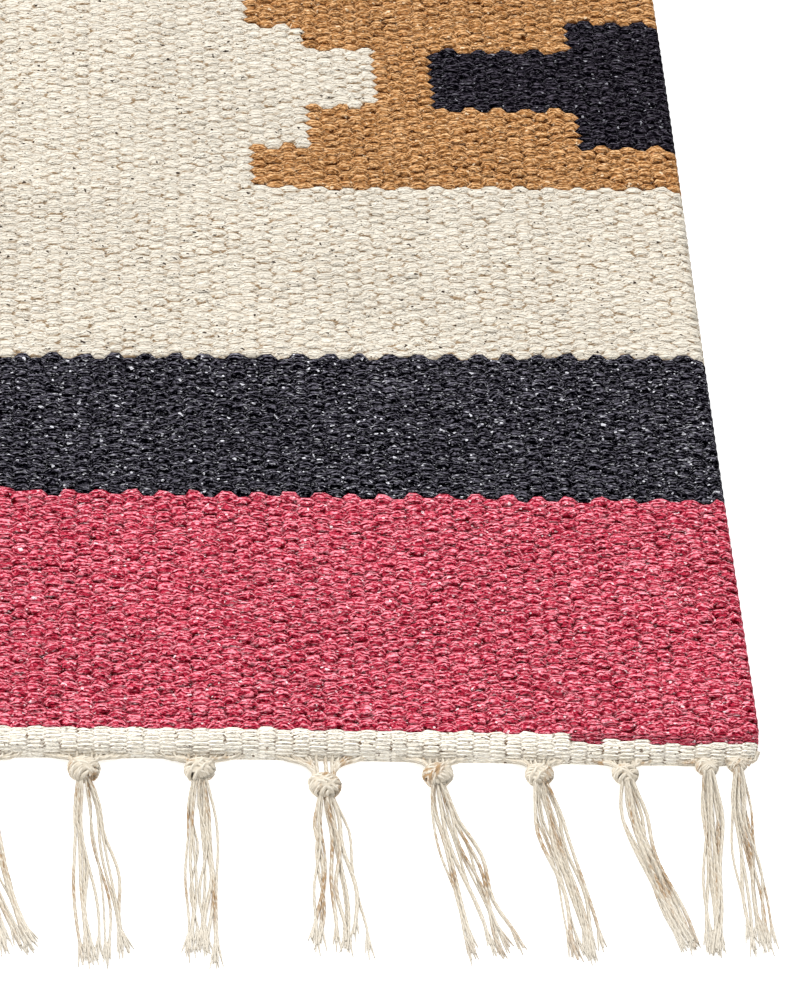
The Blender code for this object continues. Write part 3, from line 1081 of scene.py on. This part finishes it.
def add_strands(fringe, tassel, side, chance):
    """Loose warp ends below the knot: they bow apart, come down to the floor and end in frayed tips."""
    bow = chance.uniform(-0.9, 0.9)
    belly = chance.uniform(6.2, 7.6) * tassel.size
    neck = STRAND_NECK * tassel.size
    order = list(range(STRANDS))
    chance.shuffle(order)
    start = tassel.out + KNOT_HALF[1] * tassel.size * KNOT_EXIT
    for strand in range(STRANDS):
        rank = (strand + 0.5) / STRANDS - 0.5
        rank = rank + chance.uniform(-0.09, 0.09)
        length = tassel.length - start - chance.uniform(0, 4.5)
        drift = chance.uniform(-0.8, 0.8)
        wave = chance.uniform(0.2, 1.0) * chance.choice((-1, 1))
        turns = chance.uniform(0.9, 1.9)
        phase = chance.uniform(0, 2 * math.pi)
        layer = order[strand] % 3
        width = STRAND_THICK * chance.uniform(0.7, 1.4)
        path = []
        tips = []
        thick = []
        for number in range(STRAND_STEPS + 1):
            s = number / STRAND_STEPS
            open_up = math.sin(math.pi / 2 * min(1.0, s / 0.24))
            wide = neck + (belly - neck) * open_up + (tassel.spread - 0.8 - belly) * s ** 1.2
            ripple = wave * math.sin(2 * math.pi * turns * s + phase) * min(1.0, 4 * s)
            swing = bow * math.sin(math.pi * s)
            px = tassel.place + rank * wide + tassel.lean * s ** tassel.bend + drift * s + swing + ripple
            rest = width / 2 + 0.04 + 0.40 * layer * (1 - 0.8 * s)
            fall = max(0.0, 1 - s / 0.2) ** 1.6
            pz = rest + (2.1 + 0.3 * layer - rest) * fall
            path.append((px, side * (LENGTH / 2 + start + length * s), pz))
            tips.append(max(0.0, (s - 0.7) / 0.3))
            thick.append(width * (1 - 0.35 * max(0.0, (s - 0.85) / 0.15)))
        tint = chance.random()
        fringe.add(path, thick, tint, tips)
        add_frayed_tip(fringe, path, side, tint, chance)


def add_frayed_tip(fringe, path, side, tint, chance):
    """Thin plies that come apart at a strand's end."""
    last = path[-1]
    before = path[-3]
    for ply in range(3):
        spread = (ply - 1) * chance.uniform(0.5, 1.3) + chance.uniform(-0.2, 0.2)
        reach = chance.uniform(4.5, 8.0)
        plies = []
        for number in range(4):
            s = number / 3
            px = before[0] + (last[0] - before[0]) * s + spread * s ** 1.3
            py = before[1] + side * reach * s
            height = before[2] * (1 - s) + FRAYED_HEIGHT * s
            plies.append((px, py, max(FRAYED_HEIGHT, height)))
        fringe.add(plies, FRAYED_THICK, tint, [1.0] * 4)


def build_fringe(end, row, side, material):
    """One end's fringe: for every tassel its fan, its knot and its strands."""
    chance = random.Random(SEED + 11 + side)
    fringe = Fringe()
    places = [tassel.place for tassel in row]
    for number, tassel in enumerate(row):
        out = chance.uniform(*OUT_RANGE)
        bend = chance.uniform(*BEND_RANGE)
        if tassel.out is None:
            tassel = tassel._replace(out=out, bend=bend)
        x = tassel.place
        left = (places[number - 1] + x) / 2 if number else -WIDTH / 2
        right = (places[number + 1] + x) / 2 if number + 1 < len(row) else WIDTH / 2
        left = max(left + FAN_GAP, x - FAN_REACH, -WIDTH / 2 + FAN_MARGIN)
        right = min(right - FAN_GAP, x + FAN_REACH, WIDTH / 2 - FAN_MARGIN)
        add_fan(fringe, tassel, side, left, right, chance)
        add_knot(fringe, tassel, side, chance)
        add_strands(fringe, tassel, side, chance)
    nodes = [f"tassel_{end}_{number + 1:02d}" for number in range(len(row))]
    make_fringe("fringe_" + end, fringe, material, nodes)


# Floor, light and camera

FLOOR_HALF = 6.0
FLOOR_DROP = 0.0002
FLOOR_GLOW = 0.5
ROOM_LIGHT = 0.90
LAMP_PLACE = (-1.6, 2.15, 4.2)
LAMP_AIM = (0.1, -0.2, 0)
LAMP_SIZE = 1.8
LAMP_POWER = 280.0

# The camera's place, its line of sight and its right, and the lens for a picture this many pixels
# high.
EYE = Vector((0.13404214, -0.91657595, 0.65214284))
VIEW = Vector((0.10526773, 0.63410931, -0.76604444))
RIGHT = Vector((0.9943445, -0.05622498, 0.09009869))
FOCAL_PIXELS = 3687
PICTURE_HEIGHT = 1000
SENSOR = 36


def build_stage():
    """A plain white floor."""
    mesh = bpy.data.meshes.new("floor")
    around = ((-1, -1), (1, -1), (1, 1), (-1, 1))
    corners = [(x * FLOOR_HALF, y * FLOOR_HALF, -FLOOR_DROP) for x, y in around]
    mesh.from_pydata(corners, [], [(0, 1, 2, 3)])
    finish = Finish("floor_white", 0.9)
    for name, value in (
        ("Base Color", (0.93, 0.93, 0.93, 1)), ("Emission Color", (1, 1, 1, 1)),
        ("Emission Strength", FLOOR_GLOW),
    ):
        finish.feed(finish.shader.inputs[name], value)
    mesh.materials.append(finish.material)
    floor = add_object("floor", mesh)


def build_lights():
    """A bright white room, and a large soft lamp over the far left."""
    world = bpy.data.worlds.new("room")
    world.use_nodes = True
    background = world.node_tree.nodes["Background"]
    background.inputs["Color"].default_value = (1, 1, 1, 1)
    background.inputs["Strength"].default_value = ROOM_LIGHT
    bpy.context.scene.world = world
    data = bpy.data.lights.new("soft_lamp", "AREA")
    data.shape = "SQUARE"
    data.size = LAMP_SIZE
    data.energy = LAMP_POWER
    lamp = add_object("soft_lamp", data)
    lamp.location = LAMP_PLACE
    aim = Vector(LAMP_AIM) - Vector(LAMP_PLACE)
    lamp.rotation_euler = aim.to_track_quat("-Z", "Y").to_euler()


def build_camera():
    """The camera over the near right corner, at the photograph's angle."""
    data = bpy.data.cameras.new("camera")
    data.sensor_fit = "VERTICAL"
    data.sensor_height = SENSOR
    data.lens = FOCAL_PIXELS / PICTURE_HEIGHT * SENSOR
    data.clip_start = 0.01
    camera = add_object("camera", data)
    turned = Matrix((RIGHT, RIGHT.cross(VIEW), -VIEW)).transposed().to_4x4()
    camera.matrix_world = Matrix.Translation(EYE) @ turned
    bpy.context.scene.camera = camera


def build_scene():
    scene = bpy.context.scene
    scene.view_settings.view_transform = "Standard"
    scene.view_settings.look = "None"
    build_cloth({name: yarn_finish(name + "_yarn", yarn) for name, yarn in YARNS.items()})
    cotton = fringe_finish("fringe_cotton", *FRINGE_COLORS)
    build_fringe("near", NEAR_TASSELS, -1, cotton)
    build_fringe("far", FAR_TASSEL_ROW, 1, cotton)
    build_stage()
    build_lights()
    build_camera()


build_scene()
